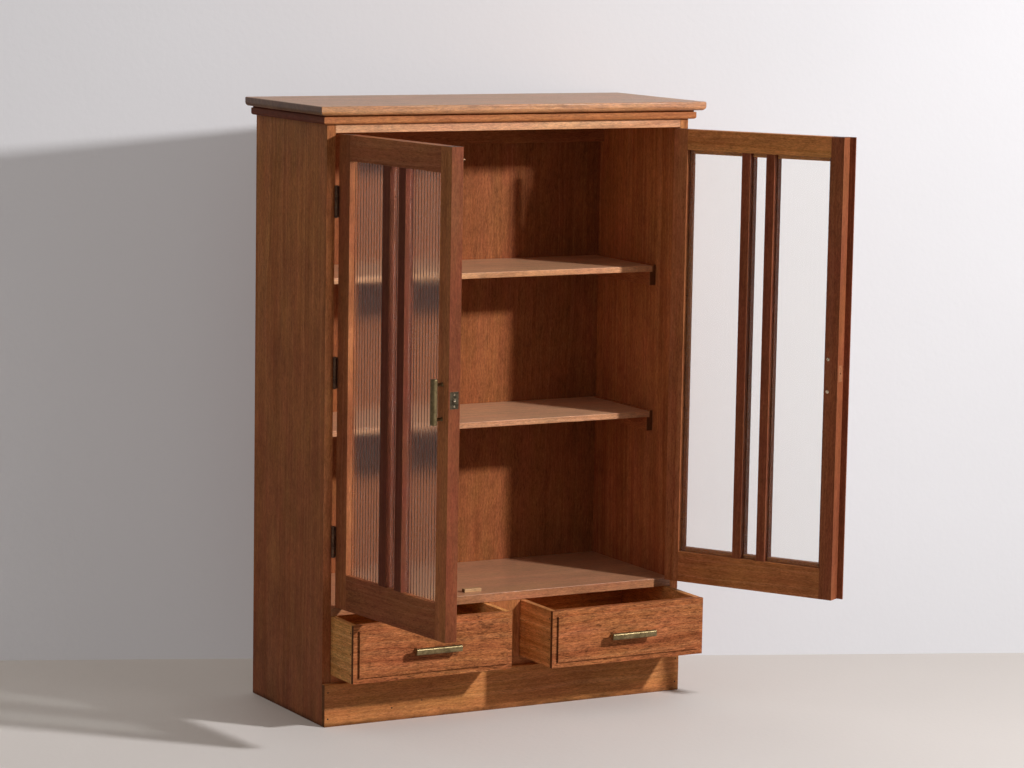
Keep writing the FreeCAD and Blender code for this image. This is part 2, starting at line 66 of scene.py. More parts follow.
# Camera, worked out from the straight edges in the photograph
camera_place = Vector((-3.2190, -5.8757, 1.5626))
camera_yaw = 0.5018
camera_pitch = -0.1354
camera_roll = 0.0169
camera_focal_px = 3441.47
camera_sight = 100
picture_wide_px = 1024
sensor_wide_mm = 36.0

# Light, from the shadows of the drawers, the shelves and the left door
key_place = Vector((1.73, -2.52, 2.00))
key_target = Vector((-0.60, 0.77, 1.10))
key_size = 0.22
key_power = 31.5
key_colour = (1.0, 0.985, 0.99)
back_place = Vector((0.6, 4.2, 2.4))
back_target = Vector((0.0, 0.0, 0.6))
back_size = 2.4
back_power = 2.5

# Fill light from all around, stronger from above, and what gloss and the camera see instead of it
fill_low = 0.20
fill_high = 0.45
fill_colour = (1.0, 0.92, 0.85)
gloss_strength = 0.12
seen_colour = (0.86, 0.86, 0.875)

# Floor and wall. The wall's foot passes through two places on the floor. Each glows, seen straight
# or through glass, and more so from the first to the second of two distances off the object.
wall_left_foot = Vector((-0.642, 0.771, 0.0))
wall_right_foot = Vector((1.223, 0.008, 0.0))
wall_reach = 6.0
wall_tall = 5.0
wall_lift = 1e-6
wall_colour = (0.70, 0.705, 0.73)
wall_rough = 0.8
wall_glow = (0.140, 0.135, 0.138, 1)
wall_glow_span = (-0.2, -0.1)
floor_reach = 14.0
floor_colour = (0.77, 0.735, 0.71)
floor_rough = 0.60
floor_glow = (0.50, 0.49, 0.48, 1)
floor_glow_span = (2.2, 6.5)
floor_given_back = 0.50

# How much lighter or darker boards are than their kind, in steps of tone. Some of it is painted
# light and shade: the left cornice and the glazing bars are darkened as painted shade, and the top
# board is lightened as painted sheen. One board has a darker free edge, painted shade on a lit face:
# what lies close to its right side with the doors shut. The side panels are lighter towards their
# tops and darker towards their feet.
board_tones_and_painted_light = {
    "top_board": 1.0, "cornice_left": -5.0, "cornice_front": 0.5, "top_rail": 1.8,
    "shelf_upper": 0.6, "shelf_lower": 0.0, "display_floor": -0.9, "plinth_board": 1.7,
    "door_left_top_rail": -1.5, "door_left_bottom_rail": -2.5, "door_left_hinge_stile": -2.5,
    "door_left_meeting_stile": 0.2, "door_left_glazing_bars": -5.5,
    "door_right_top_rail": 2.6, "door_right_bottom_rail": 1.6, "door_right_hinge_stile": -1.4,
    "door_right_meeting_stile": -3.6, "door_right_cover_strip": -4.6, "door_right_glazing_bars": -4.0,
    "drawer_left_front": -1.3, "drawer_right_front": -0.8, "drawer_left_sides": 1.8,
}
painted_edge_shade = {"door_left_meeting_stile": -4.2}
edge_deep = 0.0002
side_fade = 1.7
tone_step = 0.11
tone_chance = 0.5

# Where a board was cut from its tree: its distance from the middle, its slant and its place along
pith_wide_span = (0.10, 0.30)
pith_deep_reach = 0.10
grain_lean = 0.02
grain_start_reach = 40

# Wood's noises: repeats per metre across and along the grain, octaves and roughness
wood_noises = {
    "sway": (14, 6, 2, 0.5), "waver": (60, 26, 2, 0.5), "wander": (7, 1.1, 3, 0.5),
    "ribbon": (30, 3.4, 2, 0.5), "patch": (24, 7, 2, 0.5), "cloud": (16, 9, 3, 0.5),
    "mottle": (85, 30, 2, 0.5), "fleck": (390, 66, 3, 0.62), "streak": (520, 58, 2, 0.5),
    "dash": (760, 210, 2, 0.6), "fibre": (1500, 30, 2, 0.6),
}

# How much noises lighten and darken wood, and whether that grows with the kind's speckle
wood_shades = {"fleck": (1.30, True), "dash": (1.00, True), "fibre": (0.30, False),
               "mottle": (0.50, True), "ribbon": (0.46, False), "cloud": (0.62, False)}

# How far noises push the grain sideways, and the noise that the rings are read from
sway_reach = 0.012
waver_reach = 0.0035
wander_reach = 0.030
ring_drift = 1.1
ring_octaves = 4
ring_roughness = 0.62
ring_stops = (0.28, 0.50, 0.72)

# Pores and streaks: where their noise turns into them, and how much of their colour they take
pore_stretch = (760, 760, 70)
pore_span = (0.10, 0.29)
pore_share = 0.60
streak_span = (0.30, 0.42)
streak_share = 0.42

# Darker end grain and feet, warmer and cooler patches, worn edges, and a painted sheen on what faces up
end_grain_share = 0.68
foot_span = (-0.002, 0.012)
foot_shade = 0.35
foot_waver = 0.012
patch_warmth = 0.026
dash_warmth = 0.020
tone_warmth = 0.003
wear_share = 0.25
painted_sheen_span = (0.6, 0.9)
painted_sheen_colour = (0.95, 0.68, 0.45)

# Gloss and relief of wood. A bump is a strength and a distance.
fibre_gloss = 0.16
pore_gloss = 0.18
fibre_relief = 0.35
fleck_relief = 0.30
mottle_relief = 0.5
wood_bump = (0.35, 0.00035)

# Kinds of wood: pale, middle, dark and pore colours, roughness, rings per metre, speckle, shine
# and painted sheen
woods = {
    "cabinet_wood": ((0.510, 0.200, 0.080), (0.430, 0.152, 0.055), (0.335, 0.106, 0.036),
                     (0.085, 0.026, 0.010), 0.44, 150.0, 0.75, 0.06, 0.0),
    "top_wood": ((0.560, 0.260, 0.125), (0.480, 0.205, 0.090), (0.360, 0.135, 0.052),
                 (0.110, 0.036, 0.014), 0.33, 130.0, 0.85, 0.42, 0.16),
    "shelf_wood": ((0.660, 0.335, 0.175), (0.560, 0.252, 0.118), (0.420, 0.165, 0.066),
                   (0.130, 0.045, 0.018), 0.40, 95.0, 0.80, 0.35, 0.28),
    "front_wood": ((0.530, 0.215, 0.082), (0.430, 0.148, 0.050), (0.270, 0.078, 0.024),
                   (0.060, 0.018, 0.007), 0.46, 120.0, 1.6, 0.06, 0.0),
    "inner_face": ((0.350, 0.128, 0.046), (0.300, 0.100, 0.034), (0.240, 0.074, 0.023),
                   (0.085, 0.026, 0.010), 0.50, 200.0, 0.9, 0.06, 0.0),
    "drawer_box_wood": ((0.760, 0.390, 0.150), (0.600, 0.255, 0.088), (0.400, 0.145, 0.045),
                        (0.150, 0.055, 0.020), 0.55, 150.0, 0.9, 0.06, 0.0),
    "inner_wood": ((0.640, 0.430, 0.240), (0.520, 0.320, 0.160), (0.390, 0.210, 0.090),
                   (0.200, 0.095, 0.040), 0.60, 150.0, 0.8, 0.06, 0.0),
}

# Kinds of metal: bright and dull colours, roughness and share of patina
metals = {
    "handle_metal": ((0.31, 0.235, 0.12), (0.115, 0.084, 0.038), 0.44, 0.50),
    "hinge_metal": ((0.24, 0.14, 0.09), (0.085, 0.046, 0.030), 0.50, 0.70),
    "brass_fittings": ((0.26, 0.215, 0.14), (0.055, 0.043, 0.029), 0.34, 0.70),
    "rubbed_brass": ((0.80, 0.68, 0.50), (0.36, 0.28, 0.18), 0.20, 0.25),
    "stained_brass": ((0.62, 0.29, 0.15), (0.46, 0.20, 0.095), 0.75, 0.55),
    "dull_brass": ((0.24, 0.13, 0.07), (0.11, 0.055, 0.03), 0.50, 0.60),
    "dark_iron": ((0.10, 0.075, 0.06), (0.022, 0.016, 0.013), 0.55, 0.75),
}
metal_cloud_scale = 140
metal_cloud_octaves = 4
metal_cloud_roughness = 0.6
metal_cloud_span = (0.36, 0.66)
metal_cloud_gloss = 0.30
metal_grain_scale = 1900
metal_grain_relief = 0.4
metal_bump = (0.25, 0.00025)
patina_spread = 0.3
rubbed_share = 0.60

# Fluted glass
glass_colour = (1.0, 1.0, 0.99, 1)
glass_index = 1.45
glass_ripples = (9, 9, 3)
glass_ripple_span = (0.3, 0.7)
glass_rough_span = (0.11, 0.15)
glass_shine_share = 0.45
glass_film_share = 0.03
glass_film_colour = (0.95, 0.88, 0.82, 1)
glass_shadow_colour = (0.50, 0.51, 0.50, 1)

# Plaster and floor paint
plaster_cloud_scale = 2.2
plaster_cloud_octaves = 4
plaster_cloud_amount = 0.06
plaster_cloud_relief = 3.0
plaster_grain_scale = 90
plaster_grain_octaves = 3
plaster_bump = (0.15, 0.002)
plaster_shine = 0.25

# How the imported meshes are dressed
weld_distance = 1e-6
flat_angle = math.radians(0.5)
crisp_angle = math.radians(38)
arris_angle = math.radians(30)
board_arris = 0.0009
frame_arris = 0.0005
metal_arris = 0.0003
arris_steps = 3
normals_weight = 100

# Flutes of the glass
flute_pitch = 0.010
flute_middle_share = 3.45 / 4.1
flute_wave = 0.00033
flute_steps = 12

# Handles. A share is a part of the solid's own length or depth.
handle_corner = 0.0036
handle_end_round = 0.0015
handle_corner_steps = 6
door_post_share = 64 / 85
drawer_post_share = 82 / 100
bar_deep_share = 11 / 23.5
post_steps = 32
post_outline = ((0.0039, 0.0), (0.0039, 0.0007), (0.0036, 0.0011), (0.0031, 0.0020),
                (0.0029, 0.0045), (0.0029, 0.0080), (0.0032, 0.0110), (0.0038, 0.0130))

# Screws, nails, pin heads, glazing sprigs and the catch's nose
screw_radius = 0.0036
screw_tall = 0.0011
hinge_screw_radius = 0.0021
hinge_screw_tall = 0.00008
plate_screw_radius = 0.0022
plate_screw_tall = 0.0005
plate_screw_inset = 0.0052
bolt_plate_thick = 0.0012
guide_screw_radius = 0.0011
guide_screw_side = 0.0041
guide_screw_rise = 0.0065
keeper_screw_side = 0.0095
keeper_screw_radius = 0.0018
pin_head_radius = 0.0027
pin_head_tall = 0.0013
pin_head_crown = 0.7
hinge_leaf_gap = 0.0001
nose_round = 0.0026
nose_steps = 10
nose_tip_share = 0.05
sprig_radius = 0.0006
sprig_long = 0.0055
sprig_in_wood = 0.0015
sprig_neck_share = 0.9
sprig_shares = (0.08, 0.36, 0.64, 0.92)
slot_share = 0.16
slot_deep_share = 0.6
slot_floor_share = 0.9
screw_profile = ((1.0, 0.0), (1.0, 0.35), (0.93, 0.75), (0.78, 1.0))
screw_steps = 20
hinge_tall = 0.060
hinge_screw_rises = (-0.020, 0.0, 0.020)
hinge_screw_depths = (0.0085, 0.0165, 0.0085)
nail_radius = 0.0016
nail_tall = 0.00025
nail_crown = 0.8
nail_outline = ((nail_radius, 0), (nail_radius * nail_crown, nail_tall))
nail_shares = (0.14, 0.50, 0.86)
nail_back = 0.0042
plinth_nails = ((-0.3925, 0.068), (-0.3925, 0.016), (-0.2541, 0.025), (-0.1884, 0.0345),
                (0.392, 0.066), (0.392, 0.018))

sides = ("left", "right")
axes = {"x": Vector((1, 0, 0)), "y": Vector((0, 1, 0)), "z": Vector((0, 0, 1))}


# Places in the frame

def closing(joint_name):
    """The motion that shuts a door: a turn about its hinge to its lower limit."""
    joint = next(item for item in frame["joints"] if item["name"] == joint_name)
    pivot = Vector(joint["pos_m"])
    turn = Matrix.Rotation(math.radians(joint["range_deg"][0]), 4, Vector(joint["axis"]))
    return Matrix.Translation(pivot) @ turn @ Matrix.Translation(-pivot)


still = Matrix.Identity(4)
shut = {body: still for body in frame["bodies"]}
shut["door_left"] = shut["door_bolt"] = shut["ball"] = closing("door_left_hinge")
shut["door_right"] = closing("door_right_hinge")


def body_of(node):
    """The name of the body that a node rides on."""
    return frame["nodes"][node]["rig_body"]


def shut_box(node):
    """A node's lowest and highest corners with its door shut."""
    matrix = shut[body_of(node)]
    points = [matrix @ vertex.co for vertex in frame["nodes"][node].data.vertices]
    low = Vector([min(point[axis] for point in points) for axis in range(3)])
    high = Vector([max(point[axis] for point in points) for axis in range(3)])
    return low, high


# Material building

class Maker:
    """Builds the nodes of one material. Each call gives the new node's output."""

    def __init__(self, name):
        self.material = bpy.data.materials.new(name)
        self.material.use_nodes = True
        self.tree = self.material.node_tree
        self.tree.nodes.clear()

    def node(self, kind, inputs=None, **settings):
        made = self.tree.nodes.new(kind)
        for key, value in settings.items():
            setattr(made, key, value)
        for key, value in (inputs or {}).items():
            if isinstance(value, bpy.types.NodeSocket):
                self.tree.links.new(value, made.inputs[key])
            else:
                made.inputs[key].default_value = value
        return made

    def attribute(self, name, output):
        return self.node("ShaderNodeAttribute", attribute_name=name).outputs[output]

    def math(self, operation, first, second=0.0):
        return self.node("ShaderNodeMath", {0: first, 1: second}, operation=operation).outputs[0]

    def stretched(self, place, scale):
        return self.node("ShaderNodeVectorMath", {0: place, 1: scale}, operation="MULTIPLY").outputs[0]

    def noise(self, place, detail=2.0, roughness=0.5):
        inputs = {"Vector": place, "Scale": 1.0, "Detail": detail, "Roughness": roughness}
        return self.node("ShaderNodeTexNoise", inputs).outputs["Fac"]

    def around(self, value, amount):
        """A noise turned into an offset, which spans the amount where the noise spans 1."""
        return self.math("MULTIPLY", self.math("SUBTRACT", value, 0.5), amount)

    def wood_noise(self, place, name):
        across, along, octaves, roughness = wood_noises[name]
        return self.noise(self.stretched(place, (across, across, along)), octaves, roughness)

    def even_noise(self, place, scale, octaves=2, roughness=0.5):
        return self.noise(self.stretched(place, (scale, scale, scale)), octaves, roughness)

    def span(self, value, reach, to_low, to_high):
        """Carries a value smoothly from the two ends of a reach to two others."""
        inputs = {"Value": value, "From Min": reach[0], "From Max": reach[1],
                  "To Min": to_low, "To Max": to_high}
        return self.node("ShaderNodeMapRange", inputs, interpolation_type="SMOOTHSTEP").outputs[0]

    def ramp(self, value, stops):
        made = self.node("ShaderNodeValToRGB", {"Fac": value})
        points = made.color_ramp.elements
        while len(points) < len(stops):
            points.new(1.0)
        for point, (position, colour) in zip(points, stops):
            point.position = position
            point.color = (*colour, 1)
        return made.outputs["Color"]

    def mix(self, share, first, second):
        """Mixes two colours. The numbers are the places of the mix node's colour inputs."""
        made = self.node("ShaderNodeMix", data_type="RGBA", blend_type="MIX", clamp_result=False)
        for index, value in ((0, share), (6, first), (7, second)):
            if isinstance(value, bpy.types.NodeSocket):
                self.tree.links.new(value, made.inputs[index])
            elif index == 0:
                made.inputs[index].default_value = value
            else:
                made.inputs[index].default_value = (*value, 1)
        return made.outputs[2]

    def blend(self, share, first, second):
        inputs = {0: share, 1: first, 2: second}
        return self.node("ShaderNodeMixShader", inputs).outputs["Shader"]

    def bump(self, height, strength, distance):
        inputs = {"Height": height, "Strength": strength, "Distance": distance}
        return self.node("ShaderNodeBump", inputs).outputs["Normal"]

    def surface(self, shader):
        output = self.node("ShaderNodeOutputMaterial")
        self.tree.links.new(shader, output.inputs["Surface"])
        return self.material


def wood_material(name, pale, middle, dark, pore, rough, ring_count, speckle, shine, painted_sheen):
    """Wood whose grain follows each board's own grain_place, from rings down to pores."""
    make = Maker(name)
    straight = make.attribute("grain_place", "Vector")
    tone = make.attribute("board_tone_and_painted_light", "Fac")
    wear = make.attribute("edge_wear", "Fac")
    end_grain = make.attribute("end_grain", "Fac")
    sway = make.around(make.wood_noise(straight, "sway"), sway_reach)
    waver = make.around(make.wood_noise(straight, "waver"), waver_reach)
    shift = make.math("ADD", sway, waver)
    offset = make.node("ShaderNodeCombineXYZ", {"X": shift, "Y": shift}).outputs[0]
    place = make.node("ShaderNodeVectorMath", {0: straight, 1: offset}, operation="ADD").outputs[0]

    parts = make.node("ShaderNodeSeparateXYZ", {"Vector": place}).outputs
    flat = make.stretched(place, (1, 1, 0))
    radius = make.node("ShaderNodeVectorMath", {0: flat}, operation="LENGTH").outputs["Value"]
    wander = make.around(make.wood_noise(place, "wander"), wander_reach)
    rings = make.math("MULTIPLY", make.math("ADD", radius, wander), ring_count)
    ring_inputs = {"X": rings, "Y": make.math("MULTIPLY", parts["Z"], ring_drift)}
    ring_place = make.node("ShaderNodeCombineXYZ", ring_inputs).outputs[0]
    band = make.noise(ring_place, ring_octaves, ring_roughness)
    noises = {kind: make.wood_noise(place, kind) for kind in wood_shades}
    streak = make.span(make.wood_noise(place, "streak"), streak_span, 1.0, 0.0)
    cell_inputs = {"Vector": make.stretched(place, pore_stretch), "Scale": 1.0}
    cells = make.node("ShaderNodeTexVoronoi", cell_inputs)
    pores = make.span(cells.outputs["Distance"], pore_span, 1.0, 0.0)

    level = 1.0
    for kind, (amount, speckled) in wood_shades.items():
        depth = amount * speckle if speckled else amount
        level = make.math("ADD", level, make.around(noises[kind], depth))
    # A board's tone holds painted light and shade as well as its own lightness
    shade = make.math("ADD", 1.0, make.math("MULTIPLY", tone, tone_step))
    end_shade = make.math("SUBTRACT", 1.0, make.math("MULTIPLY", end_grain, end_grain_share))
    shade = make.math("MULTIPLY", shade, end_shade)
    spot = make.node("ShaderNodeSeparateXYZ", {0: make.node("ShaderNodeTexCoord").outputs["Object"]})
    rise = make.math("ADD", spot.outputs["Z"], make.around(noises["mottle"], foot_waver))
    shade = make.math("MULTIPLY", shade, make.span(rise, foot_span, foot_shade, 1.0))
    level = make.math("MULTIPLY", level, shade)

    colour = make.ramp(band, list(zip(ring_stops, (dark, middle, pale))))
    colour = make.node("ShaderNodeVectorMath", {0: colour, "Scale": level}, operation="SCALE").outputs[0]
    warmth = make.math("ADD", 0.5, make.around(make.wood_noise(place, "patch"), patch_warmth))
    warmth = make.math("ADD", warmth, make.around(noises["dash"], dash_warmth))
    warmth = make.math("ADD", warmth, make.math("MULTIPLY", tone, tone_warmth))
    colour = make.node("ShaderNodeHueSaturation", {"Hue": warmth, "Color": colour}).outputs["Color"]
    colour = make.mix(make.math("MULTIPLY", pores, pore_share), colour, pore)
    colour = make.mix(make.math("MULTIPLY", streak, streak_share * speckle), colour, pore)
    colour = make.mix(make.math("MULTIPLY", wear, wear_share), colour, pale)
    # Painted sheen: faces that look up are mixed towards a pale colour, which stands in for the gloss of
    # grazing light
    normal = make.node("ShaderNodeNewGeometry").outputs["Normal"]
    faces_up = make.node("ShaderNodeSeparateXYZ", {0: normal}).outputs["Z"]
    colour = make.mix(make.span(faces_up, painted_sheen_span, 0.0, painted_sheen), colour, painted_sheen_colour)

    gloss = make.math("ADD", rough, make.around(noises["fibre"], fibre_gloss))
    gloss = make.math("ADD", gloss, make.math("MULTIPLY", pores, pore_gloss))
    height = make.math("ADD", make.math("MULTIPLY", noises["fibre"], fibre_relief),
                       make.math("MULTIPLY", noises["fleck"], fleck_relief))
    height = make.math("SUBTRACT", height, pores)
    height = make.math("ADD", height, make.math("MULTIPLY", noises["mottle"], mottle_relief))
    inputs = {"Base Color": colour, "Roughness": gloss, "Specular IOR Level": shine,
              "Normal": make.bump(height, *wood_bump)}
    return make.surface(make.node("ShaderNodeBsdfPrincipled", inputs).outputs["BSDF"])


def metal_material(name, bright, dull, rough, patina):
    """Metal with a patina in patches, rubbed bright on its edges."""
    make = Maker(name)
    place = make.node("ShaderNodeTexCoord").outputs["Object"]
    wear = make.attribute("edge_wear", "Fac")
    clouds = make.even_noise(place, metal_cloud_scale, metal_cloud_octaves, metal_cloud_roughness)
    grain = make.even_noise(place, metal_grain_scale)
    share = make.span(clouds, metal_cloud_span, patina - patina_spread, patina + patina_spread)
    share = make.math("SUBTRACT", share, make.math("MULTIPLY", wear, rubbed_share))
    colour = make.mix(make.node("ShaderNodeClamp", {"Value": share}).outputs[0], bright, dull)
    gloss = make.math("ADD", rough, make.around(clouds, metal_cloud_gloss))
    height = make.math("ADD", make.math("MULTIPLY", grain, metal_grain_relief), clouds)
    inputs = {"Base Color": colour, "Metallic": 1.0, "Roughness": gloss,
              "Normal": make.bump(height, *metal_bump)}
    return make.surface(make.node("ShaderNodeBsdfPrincipled", inputs).outputs["BSDF"])


def glass_material(name):
    """Clear rolled glass: bent light, some of it mirrored, and a thin pale film.

    Shadow rays pass straight through it and lose some of their light.
    """
    make = Maker(name)
    place = make.node("ShaderNodeTexCoord").outputs["Object"]
    ripple = make.noise(make.stretched(place, glass_ripples))
    gloss = make.span(ripple, glass_ripple_span, *glass_rough_span)
    inputs = {"Color": glass_colour, "Roughness": gloss, "IOR": glass_index}
    clear = make.node("ShaderNodeBsdfRefraction", inputs).outputs["BSDF"]
    shine = make.node("ShaderNodeBsdfGlass", inputs).outputs["BSDF"]
    film = make.node("ShaderNodeBsdfDiffuse", {"Color": glass_film_colour}).outputs["BSDF"]
    glass = make.blend(glass_shine_share, clear, shine)
    glass = make.blend(glass_film_share, glass, film)
    through = make.node("ShaderNodeBsdfTransparent", {"Color": glass_shadow_colour}).outputs["BSDF"]
    rays = make.node("ShaderNodeLightPath").outputs["Is Shadow Ray"]
    return make.surface(make.blend(rays, glass, through))


def plaster_material(name, colour, rough, glow, glow_span, given_back=1.0, one_sided=False):
    """Plain pale plaster or a painted floor, which glows as a backdrop.

    given_back is the share of its light that it throws on the object. Where it is one-sided, it
    is clear from behind.
    """
    make = Maker(name)
    place = make.node("ShaderNodeTexCoord").outputs["Object"]
    clouds = make.even_noise(place, plaster_cloud_scale, plaster_cloud_octaves)
    grain = make.even_noise(place, plaster_grain_scale, plaster_grain_octaves)
    level = make.math("ADD", 1.0, make.around(clouds, plaster_cloud_amount))
    tint = make.node("ShaderNodeVectorMath", {0: colour, "Scale": level}, operation="SCALE").outputs[0]
    height = make.math("ADD", grain, make.math("MULTIPLY", clouds, plaster_cloud_relief))
    rays = make.node("ShaderNodeLightPath").outputs
    share = make.math("SUBTRACT", 1.0, make.math("MULTIPLY", rays["Is Diffuse Ray"], 1.0 - given_back))
    tint = make.node("ShaderNodeVectorMath", {0: tint, "Scale": share}, operation="SCALE").outputs[0]
    distance = make.node("ShaderNodeVectorMath", {0: place}, operation="LENGTH").outputs["Value"]
    seen = make.math("ADD", rays["Is Camera Ray"], rays["Is Transmission Ray"])
    seen = make.node("ShaderNodeClamp", {"Value": seen}).outputs[0]
    lit = make.math("MULTIPLY", seen, make.span(distance, glow_span, 0.0, 1.0))
    inputs = {"Base Color": tint, "Roughness": rough, "Normal": make.bump(height, *plaster_bump),
              "Specular IOR Level": plaster_shine, "Emission Color": glow, "Emission Strength": lit}
    front = make.node("ShaderNodeBsdfPrincipled", inputs).outputs["BSDF"]
    if not one_sided:
        return make.surface(front)
    behind = make.node("ShaderNodeNewGeometry").outputs["Backfacing"]
    clear = make.node("ShaderNodeBsdfTransparent").outputs["BSDF"]
    return make.surface(make.blend(behind, front, clear))


materials = {name: wood_material(name, *kind) for name, kind in woods.items()}
materials["fluted_glass"] = glass_material("fluted_glass")
materials.update({name: metal_material(name, *kind) for name, kind in metals.items()})


# Piece building

def add_piece(name, mesh, material, body, replaced=()):
    """Turns a finished mesh into a piece on a body, shaded smooth with crisp corners."""
    bmesh.ops.recalc_face_normals(mesh, faces=mesh.faces)
    for face in mesh.faces:
        face.smooth = True
    for edge in mesh.edges:
        edge.smooth = not (len(edge.link_faces) == 2 and edge.calc_face_angle() > crisp_angle)
    data = bpy.data.meshes.new(name)
    mesh.to_mesh(data)
    mesh.free()
    for layer in ("custom_normal", "UVMap"):
        if layer in data.attributes:
            data.attributes.remove(data.attributes[layer])
    data.materials.append(materials[material])
    piece = bpy.data.objects.new(name, data)
    bpy.context.scene.collection.objects.link(piece)
    normals = piece.modifiers.new("even_normals", "WEIGHTED_NORMAL")
    normals.keep_sharp = True
    normals.weight = normals_weight
    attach(piece, body)
    if replaced:
        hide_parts(*replaced)


def solid_of(node):
    """A welded copy of a node's mesh with its flat faces whole."""
    mesh = bmesh.new()
    mesh.from_mesh(frame["nodes"][node].data)
    bmesh.ops.remove_doubles(mesh, verts=mesh.verts, dist=weld_distance)
    bmesh.ops.dissolve_limit(mesh, angle_limit=flat_angle, verts=mesh.verts, edges=mesh.edges)
    return mesh


def ease_edges(mesh, size):
    """Rounds the outer corners and marks the rounding, where wear shows."""
    wear = mesh.faces.layers.float.new("edge_wear")
    edges = [edge for edge in mesh.edges
             if len(edge.link_faces) == 2 and edge.is_convex and edge.calc_face_angle() > arris_angle]
    made = bmesh.ops.bevel(mesh, geom=edges, offset=size, segments=arris_steps, profile=0.5,
                           affect="EDGES", clamp_overlap=True)
    for face in made["faces"]:
        face[wear] = 1.0


def set_grain(mesh, node, along, fade):
    """Writes where each point lies in its own board, its tone with some painted light and shade, and
    where its end grain shows.
    """
    chance = random.Random(node)
    low, high = shut_box(node)
    size = high - low
    others = sorted((axis for axis in "xyz" if axis != along), key=lambda axis: size["xyz".index(axis)])
    deep, wide = (axes[axis] for axis in others)
    long = axes[along]
    middle = (low + high) / 2
    side = chance.choice((-1, 1))
    pith_wide = side * chance.uniform(*pith_wide_span)
    pith_deep = chance.uniform(-pith_deep_reach, pith_deep_reach)
    lean = chance.uniform(-grain_lean, grain_lean)
    start = chance.uniform(0, grain_start_reach)
    tone = chance.uniform(-tone_chance, tone_chance) + board_tones_and_painted_light.get(node, 0.0)
    edge_painted_shade = painted_edge_shade.get(node, 0.0)
    matrix = shut[body_of(node)]
    place = mesh.verts.layers.float_vector.new("grain_place")
    shade = mesh.verts.layers.float.new("board_tone_and_painted_light")
    end = mesh.faces.layers.float.new("end_grain")
    for vertex in mesh.verts:
        point = matrix @ vertex.co - middle
        reach = point.dot(long)
        across = point.dot(wide) + pith_wide + lean * reach
        depth = point.dot(deep) + pith_deep + lean * reach
        vertex[place] = Vector((across, depth, reach + start))
        # A darker free edge is painted shade on a face that the key light reaches
        on_edge = high.x - middle.x - point.x < edge_deep
        faded = fade * reach / size["xyz".index(along)] * 2
        vertex[shade] = tone + (edge_painted_shade if on_edge else 0.0) + faded
    mesh.normal_update()
    for face in mesh.faces:
        face[end] = abs((matrix.to_3x3() @ face.normal).dot(long))


def board(node, along, material="cabinet_wood", arris=board_arris, fade=0.0):
    """A node's solid with eased edges and its own grain, which fades along by steps of tone."""
    mesh = solid_of(node)
    ease_edges(mesh, arris)
    set_grain(mesh, node, along, fade)
    add_piece(node + "_wood", mesh, material, body_of(node), (node,))


def fitting(node, material):
    """A node's solid in metal, with eased edges."""
    mesh = solid_of(node)
    ease_edges(mesh, metal_arris)
    add_piece(node + "_metal", mesh, material, body_of(node), (node,))


def carcass():
    """The boards of the case, each with its grain along its length."""
    for node in ("top_board", "display_floor"):
        board(node, "x", "top_wood")
    for node in ("cornice_front", "bottom_board", "plinth_board"):
        board(node, "x")
    for node in ("top_rail", "shelf_upper", "shelf_lower"):
        board(node, "x", "shelf_wood")
    for node in ("cornice_left", "cornice_right", "cleats_upper", "cleats_lower"):
        board(node, "y")
    for node in ("side_panel_left", "side_panel_right"):
        board(node, "z", fade=side_fade)
    board("drawer_divider", "z")
    board("back_panel", "z", "inner_face")
    board("back_top_rail", "x", "inner_face")
    board("plinth_back_rail", "x", "inner_wood")
    board("corner_blocks", "z", "inner_wood")
    board("drawer_guides", "y", "inner_wood")
    board("door_stop", "x", "inner_wood")


def doors():
    """The doors' frames and glazing bars, their panes with sprigs, and the cover strip."""
    for side in sides:
        name = "door_" + side + "_"
        for part in ("hinge_stile", "meeting_stile", "glazing_bars"):
            board(name + part, "z", arris=frame_arris)
        for part in ("top_rail", "bottom_rail"):
            board(name + part, "x", arris=frame_arris)
        for part in ("pane_hinge_side", "pane_middle", "pane_meeting_side"):
            pane(name + part)
            sprigs(name + part)
    board("door_right_cover_strip", "z", arris=frame_arris)


def drawers():
    """Each drawer's front, sides, back and bottom."""
    for side in sides:
        name = "drawer_" + side + "_"
        board(name + "front", "x", "front_wood", arris=frame_arris)
        board(name + "sides", "y", "drawer_box_wood")
        board(name + "back", "x", "drawer_box_wood")
        board(name + "bottom", "x", "drawer_box_wood", frame_arris)


def walls(mesh, rings):
    """Joins each closed ring of points to the next one by faces."""
    for lower, upper in zip(rings, rings[1:]):
        count = len(lower)
        for index in range(count):
            after = (index + 1) % count
            mesh.faces.new((lower[index], lower[after], upper[after], upper[index]))


def lathe(mesh, outline, steps, matrix):
    """Turns an outline of radius and height round the Z axis; both ends are closed."""
    rings = []
    for radius, height in outline:
        ring = []
        for step in range(steps):
            angle = 2 * math.pi * step / steps
            ring.append(mesh.verts.new(matrix @ Vector((radius * math.cos(angle),
                                                        radius * math.sin(angle), height))))
        rings.append(ring)
    walls(mesh, rings)
    mesh.faces.new(rings[0][::-1])
    mesh.faces.new(rings[-1])


def aimed(place, facing):
    """What moves a form's foot to a place and turns its Z axis to a direction."""
    return Matrix.Translation(place) @ facing.to_track_quat("Z", "Y").to_matrix().to_4x4()


def pane(node):
    """Fluted glass: flat outside, with even waves inside."""
    low, high = shut_box(node)
    middle = low.y + (high.y - low.y) * flute_middle_share
    count = round((high.x - low.x) / flute_pitch)
    pitch = (high.x - low.x) / count
    outline = [(low.x, low.y), (high.x, low.y)]
    for step in range(count * flute_steps + 1):
        turn = 2 * math.pi * step / flute_steps
        outline.append((high.x - step * pitch / flute_steps, middle - flute_wave * math.cos(turn)))
    mesh = bmesh.new()
    rings = [[mesh.verts.new((x, y, z)) for x, y in outline] for z in (low.z, high.z)]
    walls(mesh, rings)
    mesh.faces.new(rings[0][::-1])
    mesh.faces.new(rings[1])
    body = body_of(node)
    mesh.transform(shut[body].inverted())
    add_piece(node + "_glass", mesh, "fluted_glass", body, (node,))


